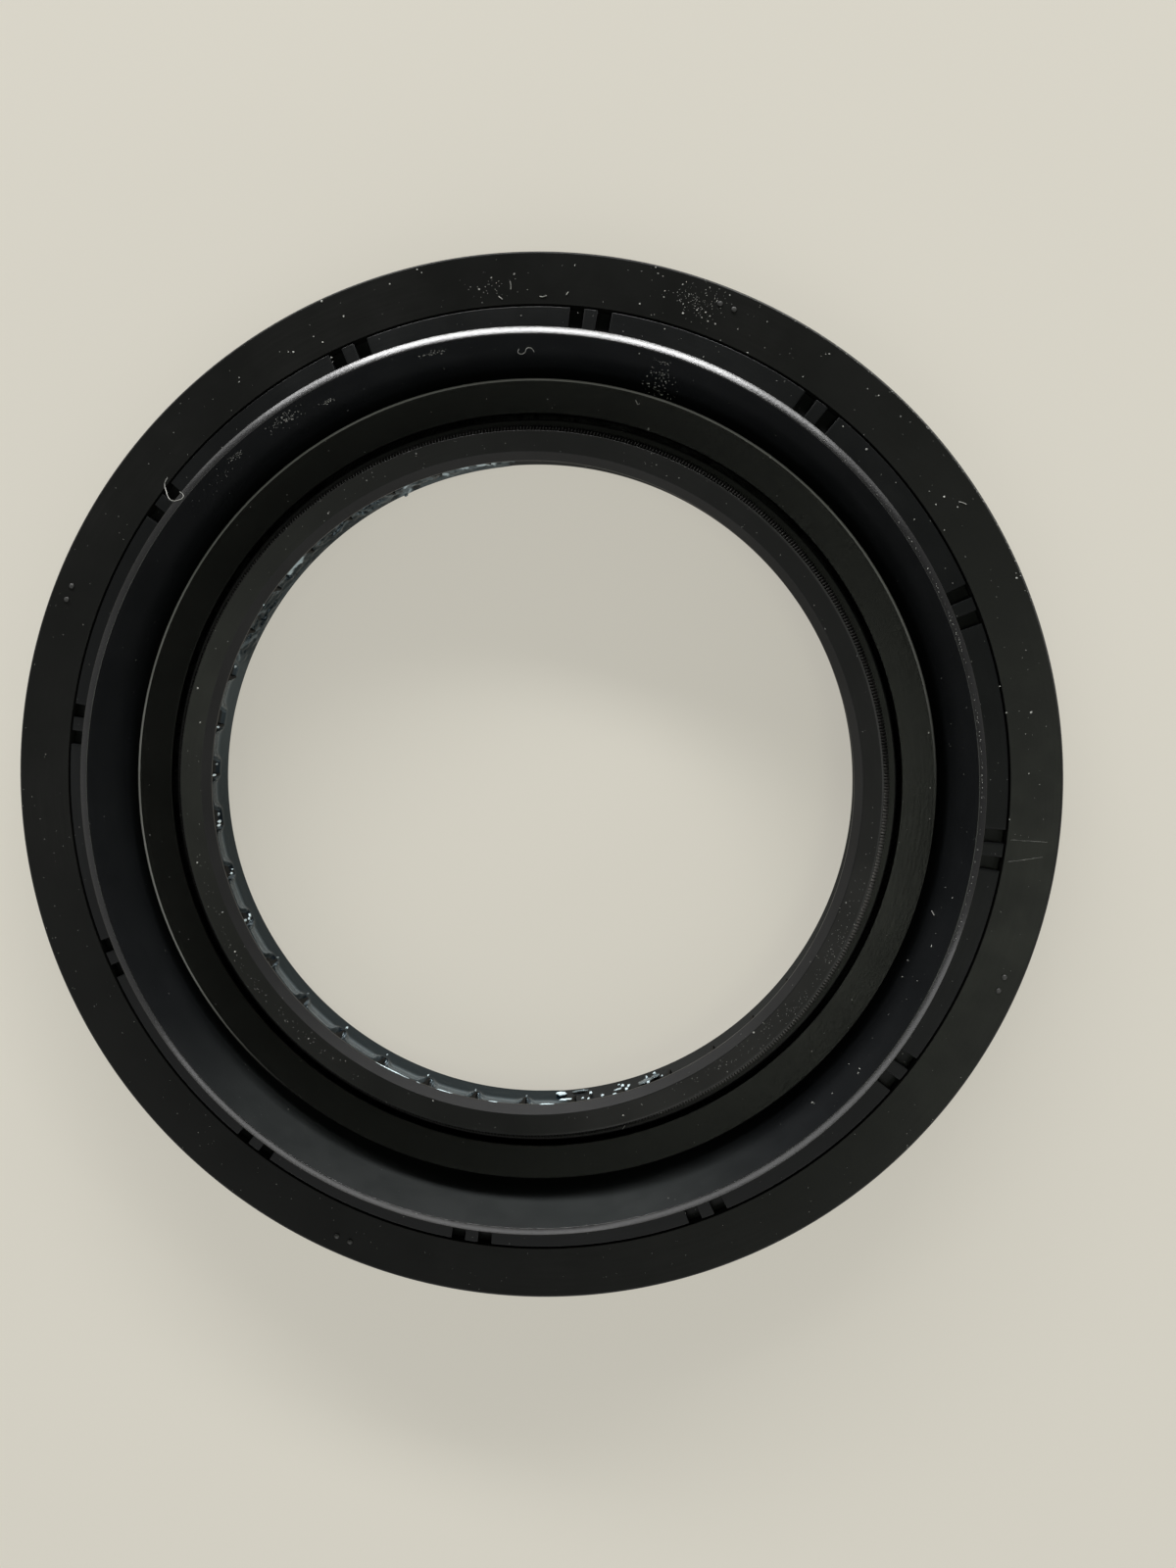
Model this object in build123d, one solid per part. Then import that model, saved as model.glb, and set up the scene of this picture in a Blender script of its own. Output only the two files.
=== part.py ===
from build123d import *
from math import cos, degrees, radians, sin
import os

# Radial shaft seal for a 100 mm shaft: a rubber body moulded on a pressed steel
# case, an inner case, a raised collar on the oil side, and a garter spring behind
# the main lip. It lies on its back, the air side. +Z is the shaft axis, towards
# the oil side, and the origin is the centre of the back face. Millimetres.

# Lips, from the shaft
shaft_diameter = 100.0
lip_squeeze = 1.0          # the free main lip stands this far inside the shaft
dust_squeeze = 0.35        # and the dust lip this far
pocket_depth = 2.4         # grease pocket between the lips
pocket_wall = 2.6          # rubber from the pocket to the outer case's web
hub_cover = 1.73           # rubber hub's reach over the web

# Steel sheet
case_steel = 1.2
inner_steel = 1.0
inner_bend = 0.8           # flat across the inner case's upper bend
back_cover = 1.3           # rubber behind the outer case's web
front_cover = 1.0          # rubber over the front end of its wall
outside_cover = 0.7        # rubber on the press-fitted outside

# Inner case and collar, outwards from the lip
band_gap = 0.8             # open gap between the lip's hub and the inner case
band_width = 5.17          # the inner case's visible ring
band_dish = 0.85           # the ring falls this much towards the shaft
foot_margin = 0.12         # inner case's foot to the seat
groove_width = 0.76        # open groove between inner case and collar
inside_lean = 4.22         # the collar's inside leans out by this much
rim_width = 1.0
rim_fall = 0.5             # the rim falls this much outwards
outside_lean = 0.92        # the collar's outside leans in by this much
shoulder_width = 3.52      # shoulder outside it, as far as the seam
shoulder_rise = 0.7        # the shoulder rises this much inwards
seam_gap = 0.3             # open seam between collar and front ring
seam_depth = 2.0
front_width = 7.83         # flat front ring, from the seam to the outside

# Heights above the back face
body_depth = 10.3          # to the flat front ring
collar_height = 7.7        # from the front ring to the collar's rim
band_height = 9.3
ledge_height = 8.25        # flat top of the lip's hub
lip_height = 12.2          # middle of the sealing edge
lead_depth = 1.9           # lead-in at the back of the outside
lead_width = 1.0

# Main lip, from the sealing edge
edge_land = 0.4
bevel_run = 1.12           # bevel on the oil side
bevel_rise = 1.5
head_width = 2.98          # front face of the lip's head
head_rise = 0.85
slope_fall = 5.1           # slope on the air side, down to the pocket's wall
neck_thickness = 1.5       # rubber outside the pocket's wall, under the spring

# Garter spring
spring_radius = 1.05       # outside of the closely wound coil
spring_sides = 6           # flats that stand for the coil's round section
seat_sides = 3             # flats of its seat in the lip
spring_offset = 4.55       # coil's middle, outwards from the sealing edge
spring_drop = 0.3          # and below it
spring_clearance = 0.05

# Dust lip and the recess round it
dust_height = 1.25         # its edge
dust_rise = 3.1            # upper side, from the edge to the pocket's wall
recess_run = 2.55          # lower side, from the edge to the recess's middle
recess_height = 1.9
recess_width = 2.7         # from there to the back face

# Ribs on the air side of the main lip
rib_count = 40
rib_start = 7.5            # degrees from +X
rib_width = 1.7            # at the sealing edge
rib_tip_width = 0.45
rib_length = 4.6
rib_inset = 0.08           # crest behind the sealing edge
rib_lean = 0.55            # the crest leans out by this much
rib_foot = 0.4

# Slots across the collar's shoulder, in pairs
slot_pairs = 12
slot_start = 22.5          # degrees from +X
slot_pitch = 4.2
slot_width = 2.1
slot_depth = 2.4           # below the shoulder

# Radii, worked outwards
lip_radius = shaft_diameter / 2 - lip_squeeze
dust_radius = shaft_diameter / 2 - dust_squeeze
pocket_radius = lip_radius + pocket_depth
web_radius = pocket_radius + pocket_wall
ledge_radius = web_radius + hub_cover
band_inner = ledge_radius + band_gap
band_outer = band_inner + band_width
collar_inner = band_outer + groove_width
rim_inner = collar_inner + inside_lean
rim_outer = rim_inner + rim_width
shoulder_radius = rim_outer + outside_lean
collar_radius = shoulder_radius + shoulder_width
seam_radius = collar_radius + seam_gap
outer_radius = seam_radius + front_width
spring_middle = lip_radius + spring_offset

# Heights, worked upwards
web_top = back_cover + case_steel
foot_top = web_top + inner_steel
overall_height = body_depth + collar_height
rim_low = overall_height - rim_fall
shoulder_height = body_depth + shoulder_rise
edge_bottom = lip_height - edge_land / 2
edge_top = lip_height + edge_land / 2
spring_height = lip_height - spring_drop


def turned(*outline, arc=360):
    """Revolve a closed outline, given as radius and height, about the shaft axis."""
    section = make_face(Polyline(*outline, close=True).edges())
    return revolve(Plane.XZ * section, Axis.Z, revolution_arc=arc)


def ring_of(piece, count, start):
    """Copies of a piece evenly round the shaft axis."""
    return [place * piece for place in PolarLocations(0, count, start_angle=start)]


def outer_case():
    """Steel case inside the rubber: a wall under the outside, and a web."""
    wall_outside = outer_radius - outside_cover
    wall_inside = wall_outside - case_steel
    wall_top = body_depth - front_cover
    return turned(
        (web_radius, back_cover),
        (wall_outside, back_cover),
        (wall_outside, wall_top),
        (wall_inside, wall_top),
        (wall_inside, web_top),
        (web_radius, web_top),
    )


def inner_case():
    """Steel ring: a foot on the web, a wall, and the dished ring towards the lip."""
    wall_inside = band_outer - inner_steel
    foot_outside = collar_radius - foot_margin
    dish_slope = band_dish / band_width
    under = band_height - inner_steel
    return turned(
        (wall_inside, web_top),
        (foot_outside, web_top),
        (foot_outside, foot_top),
        (band_outer, foot_top),
        (band_outer, band_height - inner_bend),
        (band_outer - inner_bend, band_height - inner_bend * dish_slope),
        (band_inner, band_height - band_dish),
        (band_inner, under - band_dish),
        (wall_inside, under - inner_steel * dish_slope),
    )


def slot():
    """Cutter for one slot, from the foot of the collar's outside to the seam."""
    arc = degrees(slot_width / collar_radius)
    cutter = turned(
        (shoulder_radius, shoulder_height - slot_depth),
        (collar_radius, body_depth - slot_depth),
        (seam_radius, body_depth - slot_depth),
        (seam_radius, shoulder_height),
        (shoulder_radius, shoulder_height),
        arc=arc,
    )
    return Rot(Z=-arc / 2) * cutter


def collar():
    """Raised collar standing on the inner case's foot, with slots in pairs."""
    ring = turned(
        (collar_inner, foot_top),
        (collar_radius, foot_top),
        (collar_radius, body_depth),
        (shoulder_radius, shoulder_height),
        (rim_outer, rim_low),
        (rim_inner, overall_height),
    )
    turn = degrees(slot_pitch / collar_radius) / 2
    slots = ring_of(slot(), slot_pairs, slot_start - turn)
    slots += ring_of(slot(), slot_pairs, slot_start + turn)
    return ring - slots


def flats(middle, height, radius, count, first=0):
    """Corners of flats round a circle, anticlockwise from the one given."""
    turn = radians(360 / spring_sides)
    reach = radius / cos(turn / 2)
    angles = [(step + 0.5) * turn for step in range(first, first + count + 1)]
    return [(middle + reach * cos(a), height + reach * sin(a)) for a in angles]


def garter_spring():
    """The closely wound coil spring, joined end to end."""
    corners = flats(spring_middle, spring_height, spring_radius, spring_sides - 1)
    return turned(*corners)


def rubber_outline():
    """Section of the whole moulding, before the case and its cavity are let in."""
    seat = flats(
        spring_middle + spring_clearance,
        spring_height,
        spring_radius + spring_clearance,
        seat_sides,
        first=2,
    )
    neck_radius = pocket_radius + neck_thickness
    seam_floor = body_depth - seam_depth
    bevel_top = edge_top + bevel_rise
    bevel_radius = lip_radius + bevel_run
    recess_radius = dust_radius + recess_run
    return [
        *seat,
        (neck_radius, ledge_height),
        (ledge_radius, ledge_height),
        (ledge_radius, web_top),
        (collar_radius, web_top),
        (collar_radius, seam_floor),
        (seam_radius, body_depth),
        (outer_radius, body_depth),
        (outer_radius, lead_depth),
        (outer_radius - lead_width, 0),
        (recess_radius + recess_width, 0),
        (recess_radius, recess_height),
        (dust_radius, dust_height),
        (pocket_radius, dust_height + dust_rise),
        (pocket_radius, edge_bottom - slope_fall),
        (lip_radius, edge_bottom),
        (lip_radius, edge_top),
        (bevel_radius, bevel_top),
        (bevel_radius + head_width, bevel_top + head_rise),
    ]


def rib():
    """One rib: wide at the sealing edge and narrow at its foot in the pocket."""
    inside = pocket_radius + rib_inset
    crest = lip_radius + rib_inset
    tip = edge_bottom - rib_length
    foot = tip - rib_foot
    side = Polyline(
        (crest, edge_bottom),
        (crest + rib_lean, tip),
        (inside, foot),
        (inside, edge_bottom),
        close=True,
    )
    front = Polyline(
        (-rib_width / 2, edge_bottom),
        (-rib_tip_width / 2, foot),
        (rib_tip_width / 2, foot),
        (rib_width / 2, edge_bottom),
        close=True,
    )
    thick = extrude(Plane.XZ * make_face(side.edges()), rib_width, both=True)
    return thick & extrude(Plane.YZ * make_face(front.edges()), inside)


def rubber_body():
    """The moulding: outside, front ring, back, both lips and the ribs."""
    ribs = ring_of(rib(), rib_count, rib_start)
    return turned(*rubber_outline()) + ribs - outer_case()


sub_parts = {
    "outer_case": outer_case(),
    "rubber_body": rubber_body(),
    "inner_case": inner_case(),
    "collar": collar(),
    "garter_spring": garter_spring(),
}

os.makedirs("parts", exist_ok=True)
for name, shape in sub_parts.items():
    export_step(shape, f"parts/{name}.step")
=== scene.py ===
import math
import random

import bmesh
import bpy
from mathutils import Matrix, Quaternion, Vector, noise as lumps


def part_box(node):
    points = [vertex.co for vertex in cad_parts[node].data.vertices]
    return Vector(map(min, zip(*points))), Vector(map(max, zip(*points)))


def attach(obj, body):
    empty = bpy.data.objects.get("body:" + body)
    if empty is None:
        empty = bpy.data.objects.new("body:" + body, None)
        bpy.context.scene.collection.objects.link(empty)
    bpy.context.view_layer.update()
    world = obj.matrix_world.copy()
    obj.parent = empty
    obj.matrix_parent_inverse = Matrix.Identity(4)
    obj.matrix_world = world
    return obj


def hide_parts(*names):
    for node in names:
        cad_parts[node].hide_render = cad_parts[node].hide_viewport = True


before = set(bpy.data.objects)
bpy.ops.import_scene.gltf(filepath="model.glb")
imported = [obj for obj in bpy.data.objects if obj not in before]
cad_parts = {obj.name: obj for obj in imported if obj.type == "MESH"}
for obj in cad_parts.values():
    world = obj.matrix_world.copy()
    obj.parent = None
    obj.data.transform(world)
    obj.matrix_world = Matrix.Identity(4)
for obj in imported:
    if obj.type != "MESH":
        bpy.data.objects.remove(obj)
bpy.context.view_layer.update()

mm = 0.001  # pieces are drawn in millimetres and scaled once at the end
mergeGap = 0.001  # points nearer than this, in millimetres, are one
arcStep = 14  # degrees of a rounding to one flat
mmPerDegree = 0.87  # along the bore
scene = bpy.context.scene


# outlines and rings

def roundCorner(bm, vert, radius):
    # a vertex bevel is measured along the edges, so the radius is turned into that length
    near = [edge.other_vert(vert).co - vert.co for edge in vert.link_edges]
    corner = near[0].angle(near[1])
    turn = math.pi - corner
    bmesh.ops.bevel(
        bm,
        geom=[vert],
        offset=radius / math.tan(corner / 2),
        segments=max(2, round(math.degrees(turn) / arcStep)),
        profile=0.5,
        affect="VERTICES",
        clamp_overlap=True,
        material=-1,
    )


def drawOutline(points):
    # each point is radius, height and the rounding of its corner
    bm = bmesh.new()
    corners = [bm.verts.new((r, 0, z)) for r, z, rounding in points]
    bm.faces.new(corners)
    for vert, (r, z, rounding) in zip(corners, points):
        if rounding:
            roundCorner(bm, vert, rounding)
    bmesh.ops.delete(bm, geom=bm.faces[:], context="FACES_ONLY")
    return bm


def faceOut(bm):
    bmesh.ops.recalc_face_normals(bm, faces=bm.faces[:])


def joinUp(bm):
    bmesh.ops.remove_doubles(bm, verts=bm.verts[:], dist=mergeGap)
    faceOut(bm)


def spinOutline(bm, steps):
    bmesh.ops.spin(
        bm,
        geom=bm.verts[:] + bm.edges[:],
        cent=(0, 0, 0),
        axis=(0, 0, 1),
        angle=math.tau,
        steps=steps,
        use_merge=True,
    )
    joinUp(bm)
    return bm


def radiusOf(co):
    return math.hypot(co.x, co.y)


def angleOf(co):
    return math.degrees(math.atan2(co.y, co.x)) % 360


def polar(r, degrees, z):
    a = math.radians(degrees)
    return Vector((r * math.cos(a), r * math.sin(a), z))


def finishPiece(name, bm, materials, slotName, *nodes, sharpAngle=28, choose=None):
    # choose gives the number of a face's material, from its middle in millimetres
    if choose:
        for face in bm.faces:
            face.material_index = choose(face)
    bmesh.ops.scale(bm, vec=(mm, mm, mm), verts=bm.verts[:])
    for face in bm.faces:
        face.smooth = True
    for edge in bm.edges:
        edge.smooth = edge.calc_face_angle(math.pi) < math.radians(sharpAngle)
    mesh = bpy.data.meshes.new(name)
    bm.to_mesh(mesh)
    bm.free()
    for material in materials:
        mesh.materials.append(material)
    piece = bpy.data.objects.new(name, mesh)
    scene.collection.objects.link(piece)
    weigh = piece.modifiers.new("even shading", "WEIGHTED_NORMAL")
    weigh.keep_sharp = True
    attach(piece, "root")
    if nodes:
        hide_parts(*nodes)
    print(f"{name}: {len(mesh.polygons)} faces")
    return piece


# materials

def newMaterial(name):
    material = bpy.data.materials.new(name)
    material.use_nodes = True
    tree = material.node_tree
    tree.nodes.clear()
    out = tree.nodes.new("ShaderNodeOutputMaterial")
    skin = tree.nodes.new("ShaderNodeBsdfPrincipled")
    tree.links.new(skin.outputs["BSDF"], out.inputs["Surface"])
    return material, tree, skin


def feed(tree, node, inputs):
    # a value or another node's output for each input; i0 and so on are inputs by number
    for key, value in inputs.items():
        socket = node.inputs[int(key[1:])] if key[0] == "i" and key[1:].isdigit() else node.inputs[key]
        if isinstance(value, bpy.types.NodeSocket):
            tree.links.new(value, socket)
        else:
            socket.default_value = value


def addNode(tree, kind, settings=None, **inputs):
    node = tree.nodes.new(kind)
    for key, value in (settings or {}).items():
        setattr(node, key, value)
    feed(tree, node, inputs)
    return node


def maths(tree, operation, a, b=0.0):
    return addNode(tree, "ShaderNodeMath", {"operation": operation}, i0=a, i1=b).outputs[0]


def mixColour(tree, amount, a, b):
    return addNode(tree, "ShaderNodeMix", {"data_type": "RGBA"}, i0=amount, i6=a, i7=b).outputs[2]


def ramp(tree, value, low, high, start=0.0, end=1.0):
    ends = {"From Min": low, "From Max": high, "To Min": start, "To Max": end}
    settings = {"interpolation_type": "SMOOTHSTEP"}
    return addNode(tree, "ShaderNodeMapRange", settings, Value=value, **ends).outputs["Result"]


def noise(tree, where, scale, detail=3.0, roughness=0.55):
    return addNode(
        tree, "ShaderNodeTexNoise", Vector=where, Scale=scale, Detail=detail, Roughness=roughness
    ).outputs["Fac"]


def objectPlace(tree):
    return addNode(tree, "ShaderNodeTexCoord").outputs["Object"]


def speckMask(tree, where, scale, size, share):
    # round grains: one to a cell, and only a share of the cells holds one
    cell = addNode(tree, "ShaderNodeTexVoronoi", Vector=where, Scale=scale)
    pick = addNode(tree, "ShaderNodeSeparateColor", Color=cell.outputs["Color"])
    reach = maths(tree, "MULTIPLY", pick.outputs[1], size)
    grain = maths(tree, "LESS_THAN", cell.outputs["Distance"], reach)
    return maths(tree, "MULTIPLY", grain, maths(tree, "LESS_THAN", pick.outputs[0], share))


def vectorMaths(tree, operation, a, **inputs):
    node = addNode(tree, "ShaderNodeVectorMath", {"operation": operation}, i0=a, **inputs)
    return node.outputs["Value" if operation in ("LENGTH", "DOT_PRODUCT") else "Vector"]


def flatPlace(tree, where):
    # the place without its height
    return vectorMaths(tree, "MULTIPLY", where, i1=(1, 1, 0))


def headingOf(tree, where):
    return vectorMaths(tree, "NORMALIZE", flatPlace(tree, where))


def axisPlace(tree, where):
    # distance from the axis and height, in metres
    height = addNode(tree, "ShaderNodeSeparateXYZ", Vector=where).outputs["Z"]
    return vectorMaths(tree, "LENGTH", flatPlace(tree, where)), height


def ringPlace(tree, where, along, across):
    # stretches a pattern round the axis: low frequency along the ring, high across it
    radius, height = axisPlace(tree, where)
    around = vectorMaths(tree, "SCALE", headingOf(tree, where), Scale=along)
    side = maths(tree, "MULTIPLY", maths(tree, "ADD", radius, height), across)
    step = addNode(tree, "ShaderNodeCombineXYZ", Z=side).outputs[0]
    return vectorMaths(tree, "ADD", around, i1=step)


rubberLook = {
    "colour": (0.0074, 0.0076, 0.0071, 1),
    "haze": (0.0118, 0.0118, 0.0111, 1),  # dusty bloom, in soft clouds
    "dust": (0.33, 0.33, 0.31, 1),
    "roughness": 0.38,
    "specular": 0.22,
    "uneven": 0.03,  # how much the roughness wanders
    "grain": 2600.0,  # moulding grain, per metre
    "grainDepth": 0.00002,
}


def between(tree, value, low, high, soft):
    # 1 from low to high, falling to 0 over the soft width outside them
    rise = ramp(tree, value, low - soft, low)
    fall = ramp(tree, value, high, high + soft, 1.0, 0.0)
    return maths(tree, "MULTIPLY", rise, fall)


facingFade = (20, 10)  # degrees outside and inside the border


def facing(tree, where, degrees, half):
    # 1 on the part of the ring that lies within half of the given direction
    outside, inside = facingFade
    dot = vectorMaths(tree, "DOT_PRODUCT", headingOf(tree, where), i1=polar(1.0, degrees, 0.0))
    return ramp(tree, dot, math.cos(math.radians(half + outside)), math.cos(math.radians(half - inside)))


# noises are scale and detail, tones the values that a ramp runs between
mouldPattern = {
    "clouds": (38.0, 5.0),
    "cloudTones": (0.42, 0.68),
    "streaks": (9.0, 2200.0),  # along the ring and across it
    "streakTones": (0.3, 0.75),
    "streakLeast": 0.45,
    "spread": (160.0, 4.0),  # where the roughness wanders
    "spreadTones": (0.3, 0.7),
    "zoneSoft": 0.06,  # border of a zone, in millimetres
    "zoneHaze": 1.35,  # how much lighter its clouds are
    "zoneGloss": (0.03, 0.05),  # its roughness wanders down and up by this
    "specks": (420.0, 0.055, 0.1),  # scale, size and share of the cells
    "fineSpecks": (1500.0, 0.12, 0.035),
    "streakRelief": 0.6,
    "relief": 0.55,
}


def blackMoulding(name, look, zones=()):
    # zones: radius from, radius to, height from, height to, colour, roughness, and which way it lies
    material, tree, skin = newMaterial(name)
    p = mouldPattern
    where = objectPlace(tree)
    clouds = ramp(tree, noise(tree, where, *p["clouds"]), *p["cloudTones"])
    streaks = noise(tree, ringPlace(tree, where, *p["streaks"]), 1.0, 2.0)
    patches = ramp(tree, streaks, *p["streakTones"], p["streakLeast"], 1.0)
    colour = mixColour(tree, maths(tree, "MULTIPLY", clouds, patches), look["colour"], look["haze"])
    spread = noise(tree, where, *p["spread"])
    rough, uneven = look["roughness"], look["uneven"]
    gloss = ramp(tree, spread, *p["spreadTones"], rough - uneven, rough + uneven)
    radius, height = axisPlace(tree, where)
    for low, high, bottom, top, tint, roughness, *side in zones:
        ring = between(tree, radius, low * mm, high * mm, p["zoneSoft"] * mm)
        band = between(tree, height, bottom * mm, top * mm, p["zoneSoft"] * mm)
        inside = maths(tree, "MULTIPLY", ring, band)
        if side:
            inside = maths(tree, "MULTIPLY", inside, facing(tree, where, *side))
        lighter = tuple(c * p["zoneHaze"] for c in tint)
        colour = mixColour(tree, inside, colour, mixColour(tree, clouds, tint, lighter))
        less, more = p["zoneGloss"]
        smooth = ramp(tree, spread, *p["spreadTones"], roughness - less, roughness + more)
        blend = addNode(tree, "ShaderNodeMix", {"data_type": "FLOAT"}, i0=inside, i2=gloss, i3=smooth)
        gloss = blend.outputs[0]
    specks = speckMask(tree, where, *p["specks"])
    fine = speckMask(tree, where, *p["fineSpecks"])
    colour = mixColour(tree, maths(tree, "MAXIMUM", specks, fine), colour, look["dust"])
    feed(tree, skin, {"Base Color": colour, "Roughness": gloss, "Specular IOR Level": look["specular"]})
    lines = maths(tree, "MULTIPLY", streaks, p["streakRelief"])
    relief = maths(tree, "ADD", noise(tree, where, look["grain"], 4.0), lines)
    bump = addNode(tree, "ShaderNodeBump", Height=relief, Strength=p["relief"], Distance=look["grainDepth"])
    feed(tree, skin, {"Normal": bump.outputs["Normal"]})
    return material


bodyZones = [
    (48.5, 50.14, 12.3, 13.95, (0.015, 0.015, 0.0152, 1), 0.46),  # bevel of the main lip
    (49.4, 51.6, 1.0, 5.0, (0.01, 0.0112, 0.0116, 1), 0.3),  # side of the dust lip
    (80.0, 80.5, 9.7, 10.5, (0.022, 0.022, 0.021, 1), 0.5),  # outer edge, lighter all round: rubbed, and partly a painted sheen
    (76.8, 78.2, 10.46, 11.0, (0.06, 0.06, 0.058, 1), 0.25),  # painted highlight on the tops of the pips
    (79.96, 80.5, 9.9, 10.5, (0.06, 0.06, 0.057, 1), 0.5, 41, 21),  # painted highlight on the outer edge, on the side facing 41 degrees
    (52.9, 53.4, 14.5, 14.9, (0.026, 0.026, 0.025, 1), 0.4, 345, 60),  # painted highlight on the outer edge of the lip's head, on the side facing 345 degrees
    (50.3, 52.9, 13.8, 14.9, (0.015, 0.015, 0.014, 1), 0.38, 318, 28),  # part of its face towards 318 degrees: dusty, and partly painted light
]
# painted highlight along the inner case's outer edge, on the side facing 115 degrees
edgeHighlightZones = [(61.36, 61.9, 8.9, 9.5, (0.19, 0.19, 0.178, 1), 0.3, 115, 100)]
# painted light on the collar's inside wall, on the part facing 260 degrees
wallLightZones = [(62.4, 67.0, 5.0, 17.9, (0.0165, 0.0188, 0.0186, 1), 0.46, 260, 30)]


def blackLook(colour, haze, roughness, specular, uneven=rubberLook["uneven"]):
    changed = {"colour": (*colour, 1), "haze": (*haze, 1), "roughness": roughness, "specular": specular}
    return {**rubberLook, **changed, "uneven": uneven}


collarLook = blackLook((0.008, 0.0086, 0.0086), (0.012, 0.0127, 0.0127), 0.32, 0.2)
# the inside wall's black is darker than the rest of the collar: painted shade of the recess
wallShadeLook = blackLook((0.005, 0.0059, 0.0068), (0.0072, 0.0084, 0.0094), 0.46, 0.65, 0.02)
rimLook = blackLook((0.014, 0.014, 0.014), (0.022, 0.022, 0.022), 0.2, 0.6, 0.01)
innerLook = blackLook((0.0032, 0.0032, 0.0029), (0.0046, 0.0045, 0.0042), 0.2, 0.16, 0.01)
# darker copy of the rubber for the ribs and the sealing flank they stand on: painted shade
ribShadeLook = blackLook((0.002, 0.0021, 0.002), (0.003, 0.0031, 0.003), 0.6, 0.03)
rubberSkin = blackMoulding("bodyRubber", rubberLook, bodyZones)
ribShadeSkin = blackMoulding("ribRubberShade", ribShadeLook)
collarSkin = blackMoulding("collarBlack", collarLook)
wallSkin = blackMoulding("collarWall", wallShadeLook, wallLightZones)
rimSkin = blackMoulding("collarRim", rimLook)
innerSkin = blackMoulding("innerCaseBlack", innerLook, edgeHighlightZones)

springLook = {
    # the coil's dark colour is painted shade: it lies in shade under the lip's head
    "colour": (0.011, 0.011, 0.01, 1),
    "worn": (0.017, 0.016, 0.015, 1),
    "paintedLitSide": (0.16, 0.155, 0.145, 1),  # painted light on the side of the coil facing 325 degrees
    "paintedLitFacing": (325, 22),
    "roughness": 0.5,
    "wornRoughness": 0.6,
    "metallic": 0.9,
    "patches": (300.0, 3.0),
    "patchTones": (0.35, 0.7),
}


def springSteel():
    material, tree, skin = newMaterial("springSteel")
    s = springLook
    where = objectPlace(tree)
    dull = ramp(tree, noise(tree, where, *s["patches"]), *s["patchTones"])
    colour = mixColour(tree, dull, s["colour"], s["worn"])
    # painted light on one side of the coil
    colour = mixColour(tree, facing(tree, where, *s["paintedLitFacing"]), colour, s["paintedLitSide"])
    gloss = ramp(tree, dull, 0, 1, s["roughness"], s["wornRoughness"])
    feed(tree, skin, {"Base Color": colour, "Roughness": gloss, "Metallic": s["metallic"]})
    return material


# the rubber moulding

bodySize = {
    "leadWidth": 1.0,  # lead-in at the back of the outside
    "leadHeight": 1.9,
    "front": 10.3,  # front ring's height
    "seamInside": 72.42,
    "seamDepth": 2.0,
    "seatRadius": 72.12,
    "seatFloor": 2.5,
    "hubRadius": 55.73,
    "hubHeight": 8.25,
    "neckRadius": 52.9,
    "neckRise": 1.35,
    "headRise": 0.85,
    "edgeRadius": 49.0,  # sealing edge
    "edgeHeight": 12.2,
    "edgeLand": 0.4,
    "pocketRadius": 51.4,  # grease pocket between the lips
    "pocketHigh": 6.9,
    "pocketLow": 4.35,
    "flank": (2.4, 5.1),  # run and rise from the pocket to the sealing edge
    "dustRadius": 49.65,  # edge of the dust lip
    "dustHeight": 1.25,
    "dustSide": (1.75, 3.1),  # run and rise from there to the pocket
    "steps": 400,
}


def bodyOutline():
    s = bodySize
    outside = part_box("rubber_body")[1].x / mm
    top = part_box("rubber_body")[1].z / mm
    edgeLow = s["edgeHeight"] - s["edgeLand"] / 2
    edgeHigh = s["edgeHeight"] + s["edgeLand"] / 2
    return [
        (outside - s["leadWidth"], 0.0, 0.25),
        (outside, s["leadHeight"], 0.3),
        (outside, s["front"], 0.4),
        (s["seamInside"], s["front"], 0.1),
        (s["seatRadius"], s["front"] - s["seamDepth"], 0),
        (s["seatRadius"], s["seatFloor"], 0),
        (s["hubRadius"], s["seatFloor"], 0.3),
        (s["hubRadius"], s["hubHeight"], 0.3),
        (s["neckRadius"], s["hubHeight"], 0.3),
        (s["neckRadius"], s["hubHeight"] + s["neckRise"], 0.3),
        (54.06, 10.72, 0.12),
        (52.45, 10.8, 0.9),
        (52.45, 12.95, 0.9),
        (53.3, 13.05, 0.12),
        (53.15, top, 0.1),
        (50.12, top - s["headRise"], 0.12),
        (s["edgeRadius"], edgeHigh, 0.08),
        (s["edgeRadius"], edgeLow, 0.12),
        (50.4, 9.0, 0),
        (s["pocketRadius"], s["pocketHigh"], 0.6),
        (s["pocketRadius"], s["pocketLow"], 0.5),
        (s["dustRadius"], s["dustHeight"], 0.12),
        (52.2, 1.9, 0.35),
        (54.9, 0.0, 0.3),
    ]


def lipSurface(z):
    # radius of the bore side, from the dust lip's edge up to the sealing edge
    s = bodySize
    if z < s["pocketLow"]:
        run, rise = s["dustSide"]
        return s["dustRadius"] + (z - s["dustHeight"]) * run / rise
    run, rise = s["flank"]
    return s["pocketRadius"] - max(0.0, z - s["pocketHigh"]) * run / rise


ribSize = {
    "count": 40,
    "first": 7.5,
    "topWidth": 1.7,
    "middle": (0.24, 0.4),  # half its width there over the top's, and how far down it lies
    "tipWidth": 0.5,
    "length": 6.4,
    "root": 51.6,  # radius it is drawn at, inside the rubber
    "crest": 49.08,
    "lean": 0.6,
    "crestWidth": 0.72,  # over the root's
    "rounding": 0.1,
    "sunk": 0.05,
}


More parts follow.
